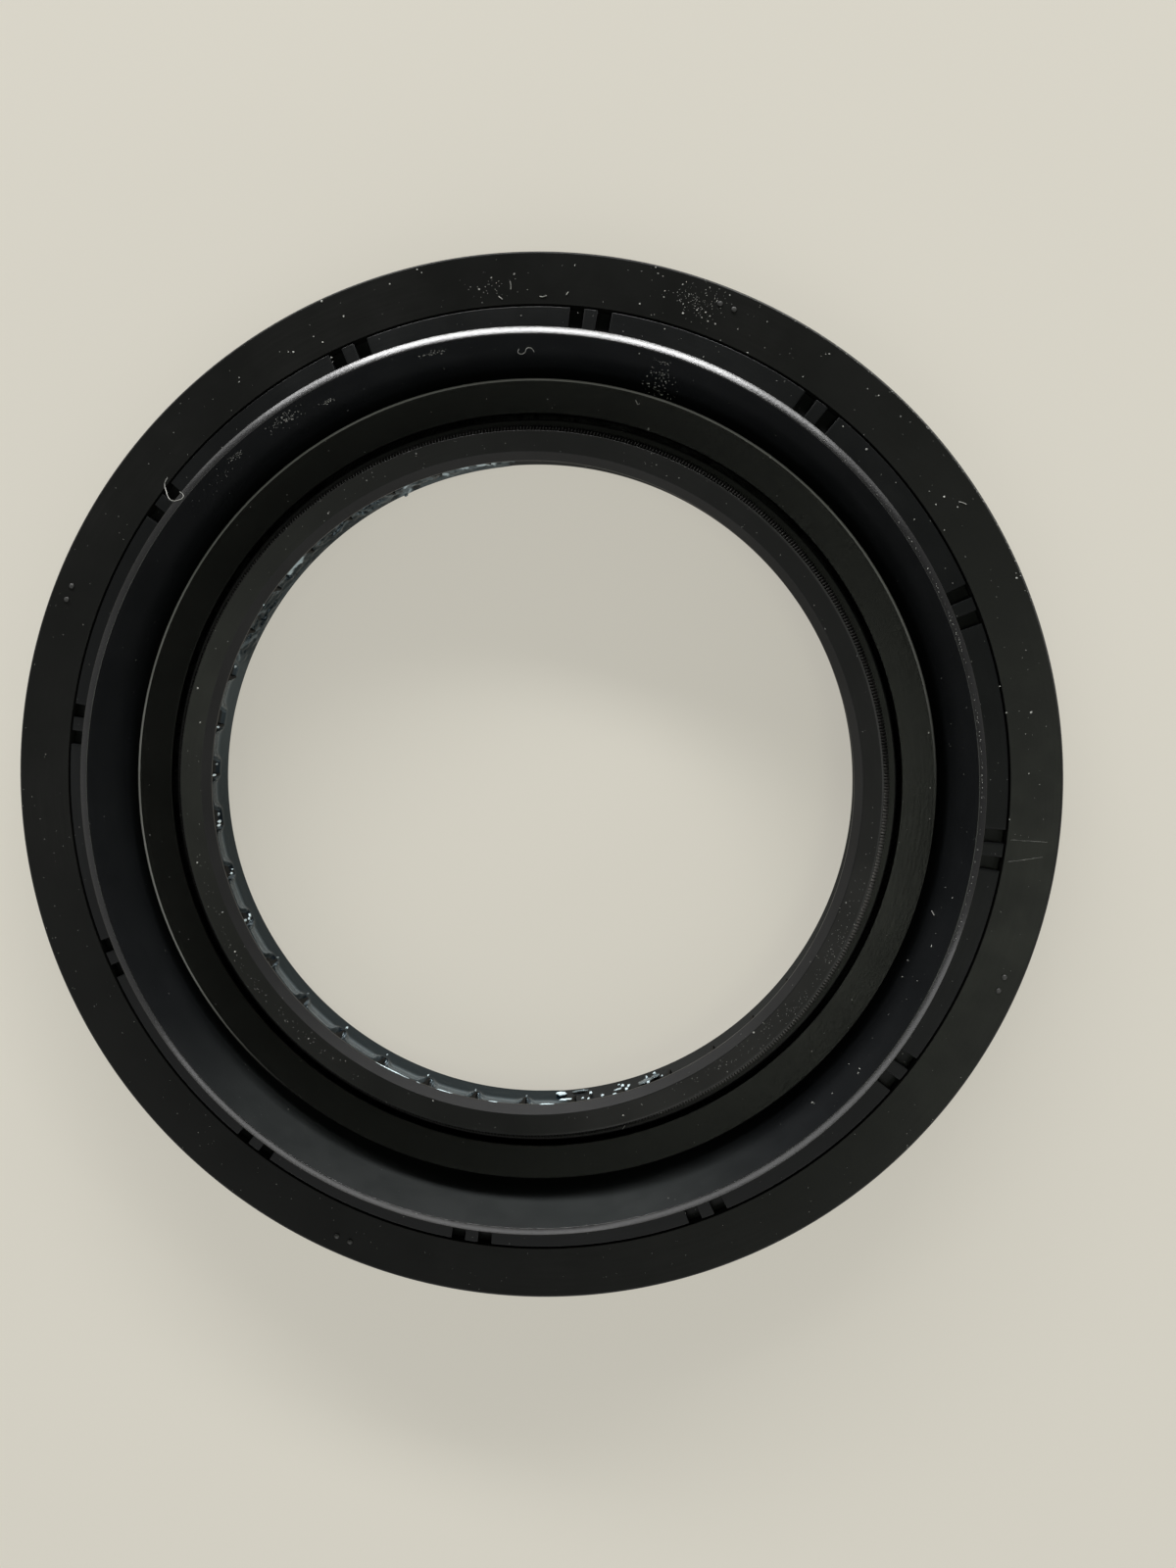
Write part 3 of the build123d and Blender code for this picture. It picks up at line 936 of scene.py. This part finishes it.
dustSize = {
    "seed": 11,
    # degrees, radius and width of the specks that can be told apart
    "specks": [
        (76.2, 79.8, 0.3), (75.8, 79, 0.25), (75.2, 78.8, 0.2), (72.6, 78.9, 0.2), (72.9, 78.4, 0.25),
        (74.6, 76.8, 0.22), (74.5, 75.9, 0.2), (73.2, 77.1, 0.2), (77, 74.1, 0.3), (72.7, 76.1, 0.2),
        (72.2, 75.7, 0.35), (70.9, 76.9, 0.22), (71.9, 75.3, 0.2), (70.5, 75.5, 0.3), (70, 75.9, 0.2),
        (71.9, 74.4, 0.4), (69.5, 75.6, 0.3), (68.9, 75.3, 0.3), (68.9, 74.5, 0.25), (68, 74.5, 0.3),
        (75.4, 72.9, 0.2), (70, 79.2, 0.3), (67.7, 79.2, 0.3), (69.7, 74.7, 0.25), (73.4, 71.4, 0.25),
        (66.7, 72.6, 0.25), (65.4, 75.1, 0.2), (61.7, 74.4, 0.2), (67.8, 69.3, 0.25), (75.2, 66, 0.35),
        (94.2, 76.6, 0.3), (95.7, 75.1, 0.35), (91.6, 76.9, 0.4), (93.4, 76, 0.2), (95.5, 73.1, 0.2),
        (90.9, 70.7, 0.25), (71.6, 56.9, 0.45), (8.6, 76.1, 0.45), (9, 72.5, 0.3), (1.7, 75.1, 0.25),
        (23.3, 79.2, 0.35), (23.8, 79.4, 0.2), (7.8, 60.9, 0.3), (34.8, 74, 0.3), (35, 75.6, 0.35),
        (33.2, 76.4, 0.25), (31.8, 73, 0.25), (36.5, 74.3, 0.2), (34.8, 70.1, 0.25), (39.7, 71.2, 0.2),
        (356.3, 72.5, 0.25), (335.3, 63.7, 0.4), (333, 63.9, 0.3), (338.8, 65.1, 0.4),
        (312.0, 64.68, 0.4), (312.2, 64.85, 0.25), (315.0, 65.23, 0.3), (319.5, 65.6, 0.4),
        (320.0, 65.45, 0.35), (319.2, 64.5, 0.3), (312.9, 50.3, 0.35), (126, 50.9, 0.3),
        (163.4, 52.4, 0.35), (169, 51, 0.35), (193, 52.1, 0.35), (202.4, 50.9, 0.3), (209.4, 51.8, 0.3),
        (228.9, 51.5, 0.3), (253.1, 50.4, 0.3), (286.3, 51.9, 0.3), (12.2, 72.2, 0.25),
        (44.9, 78.2, 0.25), (48.2, 78.2, 0.3), (49.6, 77.9, 0.2), (55.2, 78.5, 0.3), (55.5, 78.2, 0.2),
        (62.8, 77.9, 0.2), (45, 71.3, 0.4), (48.9, 71.4, 0.25), (56.2, 73.6, 0.25), (63.2, 72.6, 0.3),
        (105.5, 78.6, 0.25), (102.2, 79.6, 0.3), (101.8, 79, 0.2), (111.6, 76.4, 0.35),
        (113.2, 79.8, 0.4), (115, 74.2, 0.3), (115.7, 75.6, 0.25), (118.6, 75, 0.35),
        (119.1, 75.4, 0.25), (125.8, 75.8, 0.35), (125.5, 76.3, 0.25), (114.8, 71.5, 0.35),
        (114.9, 70.8, 0.2), (53.8, 61.4, 0.35), (84.9, 78.3, 0.25),
    ],
    # clouds of finer ones: degrees, spread, radius, spread, how many, width
    "clouds": [
        (70.8, 2.6, 77.0, 2.0, 120, 0.12), (94.0, 2.4, 75.4, 1.6, 26, 0.13),
        (135.0, 5.0, 65.6, 0.7, 26, 0.12), (336.0, 9.0, 65.0, 0.8, 14, 0.16),
        (215.0, 22.0, 51.8, 0.7, 70, 0.1), (305.0, 16.0, 50.9, 0.8, 40, 0.1),
        (41.0, 18.0, 80.0, 0.12, 110, 0.13), (72.0, 1.7, 64.0, 1.6, 80, 0.2),
        (12.0, 34.0, 66.95, 0.12, 130, 0.13), (102.0, 1.2, 65.8, 0.14, 46, 0.16),
        (117.6, 0.8, 65.2, 0.14, 26, 0.18), (123.0, 2.2, 65.7, 0.4, 80, 0.19),
        (131.0, 0.9, 65.9, 0.16, 36, 0.18), (72.0, 1.0, 65.8, 0.12, 22, 0.14),
        (325.0, 20.0, 51.8, 1.1, 150, 0.09),
    ],
    "cloudEnds": (49.3, 80.05),  # no speck of a cloud lies outside these radii
    "cloudShare": 0.6,  # of the spread, which makes its deviation
    "cloudWidths": (0.5, 1.4),  # of the cloud's width
    "grainWidths": (0.05, 0.14),
    "narrowing": (0.25, 0.45),  # breadth of a speck over its length
    # sparse grains on each part: radius from, radius to, how many
    "grains": [(72.9, 80.0, 240), (68.8, 72.0, 90), (63.6, 66.5, 70), (56.8, 61.3, 34), (50.2, 53.1, 110)],
    # radius and height along the top of the pieces
    "surface": [
        (49.0, 12.4), (50.12, 13.9), (53.15, 14.75), (56.53, 8.47), (61.65, 9.3), (62.9, 5.0), (63.9, 9.0),
        (65.44, 14.2), (66.52, 18.0), (67.72, 17.36), (68.6, 11.0), (72.12, 10.3), (80.25, 10.3)
    ],
}

lintSize = {
    "thickness": 0.11,
    "hairline": 0.03,  # of the scratches' pale lines
    "scratches": [
        [(351.3, 73.1, 10.291), (351.8, 75.5, 10.291), (352.4, 78.0, 10.291)],
        [(353.9, 73.0, 10.291), (354.0, 75.5, 10.291), (354.1, 78.4, 10.291)],
    ],
    # each one a line of degrees, radius, height
    "fibres": [
        [(139.7, 72.9, 10.6), (140.3, 72.9, 10.6), (140.8, 72.4, 10.7), (141.05, 71.5, 11.4),
         (141.2, 70.2, 13.6),
         (141.1, 68.7, 16.2), (140.8, 67.75, 17.5), (140.3, 67.15, 17.73), (139.75, 66.8, 17.9),
         (139.4, 66.9, 17.86), (139.3, 67.3, 17.66), (139.4, 67.9, 17.45)],
        [(91.0, 65.18, 13.52), (91.2, 65.01, 12.94), (91.2, 64.84, 12.36), (90.9, 64.73, 12.02),
         (90.6, 64.77, 12.13), (90.25, 64.87, 12.48), (90.1, 65.11, 13.29), (89.95, 65.25, 13.76),
         (89.65, 65.32, 13.99), (89.35, 65.25, 13.76), (89.1, 65.08, 13.18), (89.1, 64.91, 12.6)],
        [(74.6, 60.4, 9.15), (74.35, 60.1, 9.1), (74.1, 59.8, 9.05), (73.9, 60.1, 9.1)],
        [(285.7, 54.6, 8.35), (285.4, 55.0, 8.4), (285.1, 55.3, 8.4), (284.8, 55.5, 8.35)],
        [(88.7, 73.6, 10.35), (88.5, 73.45, 10.45), (88.3, 73.5, 10.35), (88.1, 73.55, 10.45),
         (87.9, 73.7, 10.35)],
        [(85.6, 73.9, 10.35), (85.5, 74.1, 10.45), (85.4, 74.35, 10.35)],
        [(93.5, 73.8, 10.35), (93.3, 73.5, 10.45), (93.05, 73.3, 10.35)],
        [(92.1, 75.9, 10.35), (92.0, 75.3, 10.4), (92.05, 74.7, 10.35)],
        [(32.9, 77.7, 10.35), (33.3, 77.4, 10.4), (33.6, 77.0, 10.35)],
        [(343.0, 63.95, 9.6), (342.7, 64.1, 10.1), (342.6, 64.3, 10.8)],
    ],
}


def surfaceHeight(r):
    line = dustSize["surface"]
    for (nearR, nearZ), (farR, farZ) in zip(line, line[1:]):
        if nearR <= r <= farR:
            return nearZ + (farZ - nearZ) * (r - nearR) / (farR - nearR)
    return line[-1][1]


dustLook = {"dark": (0.3, 0.3, 0.28, 1), "pale": (0.62, 0.62, 0.58, 1), "patches": (900.0, 2.0)}


def dustMaterial():
    material, tree, skin = newMaterial("dustAndLint")
    shade = ramp(tree, noise(tree, objectPlace(tree), *dustLook["patches"]), 0.3, 0.7)
    colour = mixColour(tree, shade, dustLook["dark"], dustLook["pale"])
    feed(tree, skin, {"Base Color": colour, "Roughness": 0.8})
    return material


def addSpeck(bm, draw, degrees, r, width):
    turn = Matrix.Rotation(draw.uniform(0, math.tau), 4, "Z")
    flat = Matrix.Diagonal((width / 2, width * draw.uniform(*dustSize["narrowing"]), width * 0.25, 1))
    place = Matrix.Translation(polar(r, degrees, surfaceHeight(r) + width * 0.1))
    bmesh.ops.create_icosphere(bm, subdivisions=1, radius=1, matrix=place @ turn @ flat)


def makeDust():
    s = dustSize
    draw = random.Random(s["seed"])
    bm = bmesh.new()
    for degrees, r, width in s["specks"]:
        addSpeck(bm, draw, degrees, r, width)
    innermost, outermost = s["cloudEnds"]
    share = s["cloudShare"]
    for degrees, spread, r, ringSpread, count, width in s["clouds"]:
        for _ in range(count):
            far = min(outermost, max(innermost, draw.gauss(r, ringSpread * share)))
            aside = draw.gauss(degrees, spread * share)
            addSpeck(bm, draw, aside, far, width * draw.uniform(*s["cloudWidths"]))
    for low, high, count in s["grains"]:
        for _ in range(count):
            aside = draw.uniform(0, 360)
            addSpeck(bm, draw, aside, draw.uniform(low, high), draw.uniform(*s["grainWidths"]))
    return finishPiece("dust", bm, [dustMaterial()], "body_rubber")


def makeLint():
    bm = bmesh.new()
    s = lintSize
    threads = [(line, s["thickness"]) for line in s["fibres"]]
    threads += [(line, s["hairline"]) for line in s["scratches"]]
    for line, thickness in threads:
        places = [polar(r, degrees, z) for degrees, r, z in line]
        bm.from_mesh(tubeMesh("fibre", "NURBS", thickness / 2, places, False))
    return finishPiece("lint", bm, [dustMaterial()], "body_rubber", sharpAngle=60)


# the hidden case keeps its CAD shape

steelLook = {
    "dark": (0.32, 0.32, 0.33, 1), "pale": (0.5, 0.5, 0.5, 1), "streaks": (6.0, 900.0), "roughness": 0.4
}


def caseSteel():
    material, tree, skin = newMaterial("caseSteel")
    streaks = ringPlace(tree, objectPlace(tree), *steelLook["streaks"])
    colour = mixColour(tree, noise(tree, streaks, 1.0, 4.0), steelLook["dark"], steelLook["pale"])
    feed(tree, skin, {"Base Color": colour, "Metallic": 1.0, "Roughness": steelLook["roughness"]})
    return material


def dressCase():
    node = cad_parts["outer_case"]
    steel = caseSteel()
    if node.material_slots:
        for holder in node.material_slots:
            holder.material = steel
    else:
        node.data.materials.append(steel)


# floor, light and camera

roomLook = {
    "floor": (0.8, 0.765, 0.67, 1),
    "floorSeen": (0.7, 0.67, 0.59, 1),  # pale tone that only the camera and reflections see
    "seenShare": 0.6,
    "lamps": {
        "key": {"place": (-0.07, 1.455, 0.555), "size": (1.5, 0.15), "power": 18.5, "roll": -7},
        "keyWide": {"place": (-0.07, 1.46, 0.56), "size": (2.5, 0.15), "power": 12.0, "roll": -7},
        "keyEnds": {"place": (-0.06, 1.56, 0.6), "size": (4.2, 0.3), "power": 8.0, "roll": -7},
        "fillLeft": {"place": (-0.62, -1.33, 0.34), "size": (1.7, 0.24), "power": 2.9},
        "fillRight": {"place": (0.82, -1.17, 0.47), "size": (1.7, 0.28), "power": 3.2},
        "side": {
            "place": (0.37, -0.22, 1.44), "size": (0.4, 0.4), "power": 1.9, "colour": (0.92, 1.0, 0.8)
        },
        "glow": {
            "place": (-0.3, -0.06, 1.47), "size": (0.14, 0.14), "power": 0.46, "colour": (0.94, 1.0, 0.84)
        },
    },
    "farHorizon": (0.21, 0.21, 0.21, 1),  # towards the key
    "nearHorizon": (0.38, 0.38, 0.38, 1),
    "nearUpper": (0.68, 0.68, 0.68, 1),  # towards the viewer's side, a hand's breadth over the table
    "zenith": (0.01, 0.01, 0.01, 1),
    "nearWay": (-0.2, -0.98, 0.0),
    # where the sky's tones change: in height, and sideways towards the viewer
    "farFade": (0.3, 0.6),
    "upperFade": (0.45, 0.62),
    "zenithFade": (0.8, 0.95),
    "sideFade": (-0.25, 0.45),
}


def makeRoom():
    s = roomLook
    bm = bmesh.new()
    bmesh.ops.create_grid(bm, x_segments=2, y_segments=2, size=3.0)
    mesh = bpy.data.meshes.new("floor")
    bm.to_mesh(mesh)
    bm.free()
    floor = bpy.data.objects.new("floor", mesh)
    floor.location.z = -0.00005
    scene.collection.objects.link(floor)
    material, tree, skin = newMaterial("floorPaper")
    where = objectPlace(tree)
    tone = noise(tree, where, 5.0, 4.0)
    darker = tuple(c * 0.95 for c in s["floor"][:3]) + (1,)
    paper = mixColour(tree, tone, s["floor"], darker)
    feed(tree, skin, {"Base Color": paper, "Roughness": 0.8, "Specular IOR Level": 0.2})
    rays = addNode(tree, "ShaderNodeLightPath")
    seen = maths(tree, "MAXIMUM", rays.outputs["Is Camera Ray"], rays.outputs["Is Glossy Ray"])
    seen = maths(tree, "MAXIMUM", seen, rays.outputs["Is Transmission Ray"])
    pale = addNode(tree, "ShaderNodeEmission", Color=s["floorSeen"], Strength=1.0)
    share = maths(tree, "MULTIPLY", seen, s["seenShare"])
    shaders = {"i1": skin.outputs["BSDF"], "i2": pale.outputs["Emission"]}
    blend = addNode(tree, "ShaderNodeMixShader", i0=share, **shaders)
    out = next(node for node in tree.nodes if node.type == "OUTPUT_MATERIAL")
    feed(tree, out, {"Surface": blend.outputs["Shader"]})
    mesh.materials.append(material)

    for name, look in s["lamps"].items():
        light = bpy.data.lights.new(name, "AREA")
        light.shape = "RECTANGLE"
        light.size, light.size_y = look["size"]
        light.energy = look["power"]
        light.color = look.get("colour", (1, 1, 1))
        lamp = bpy.data.objects.new(name, light)
        lamp.location = look["place"]
        lamp.rotation_mode = "QUATERNION"
        roll = Quaternion((0, 0, 1), math.radians(look.get("roll", 0)))
        lamp.rotation_quaternion = (-Vector(look["place"])).to_track_quat("-Z", "Y") @ roll
        scene.collection.objects.link(lamp)

    # the room is dark overhead, and lighter on the near and right side than on the far one
    world = bpy.data.worlds.new("room")
    world.use_nodes = True
    tree = world.node_tree
    sky = tree.nodes["Background"]
    way = addNode(tree, "ShaderNodeTexCoord").outputs["Generated"]
    height = addNode(tree, "ShaderNodeSeparateXYZ", Vector=way).outputs["Z"]
    toNear = vectorMaths(tree, "DOT_PRODUCT", way, i1=s["nearWay"])
    far = mixColour(tree, ramp(tree, height, *s["farFade"]), s["farHorizon"], s["zenith"])
    near = mixColour(tree, ramp(tree, height, *s["upperFade"]), s["nearHorizon"], s["nearUpper"])
    near = mixColour(tree, ramp(tree, height, *s["zenithFade"]), near, s["zenith"])
    tone = mixColour(tree, ramp(tree, toNear, *s["sideFade"]), far, near)
    feed(tree, sky, {"Color": tone, "Strength": 1.0})
    scene.world = world


viewSize = {"place": (0.02611, 0.01738, 0.2549), "aim": (0.00893, 0.00035, 0.0103), "lens": 36.97}


def makeCamera():
    s = viewSize
    data = bpy.data.cameras.new("camera")
    data.lens = s["lens"]
    data.sensor_width = 36
    data.clip_start = 0.01
    camera = bpy.data.objects.new("camera", data)
    back = (Vector(s["place"]) - Vector(s["aim"])).normalized()
    right = Vector((0, 1, 0)).cross(back).normalized()
    turn = Matrix((right, back.cross(right), back)).transposed()
    camera.matrix_world = Matrix.Translation(s["place"]) @ turn.to_4x4()
    scene.collection.objects.link(camera)
    scene.camera = camera


makeRoom()
makeCamera()
makeBody()
makeCollar()
makeInnerCase()
makeSpring()
makeGrease()
makeDust()
makeLint()
dressCase()
scene.view_settings.view_transform = "Standard"
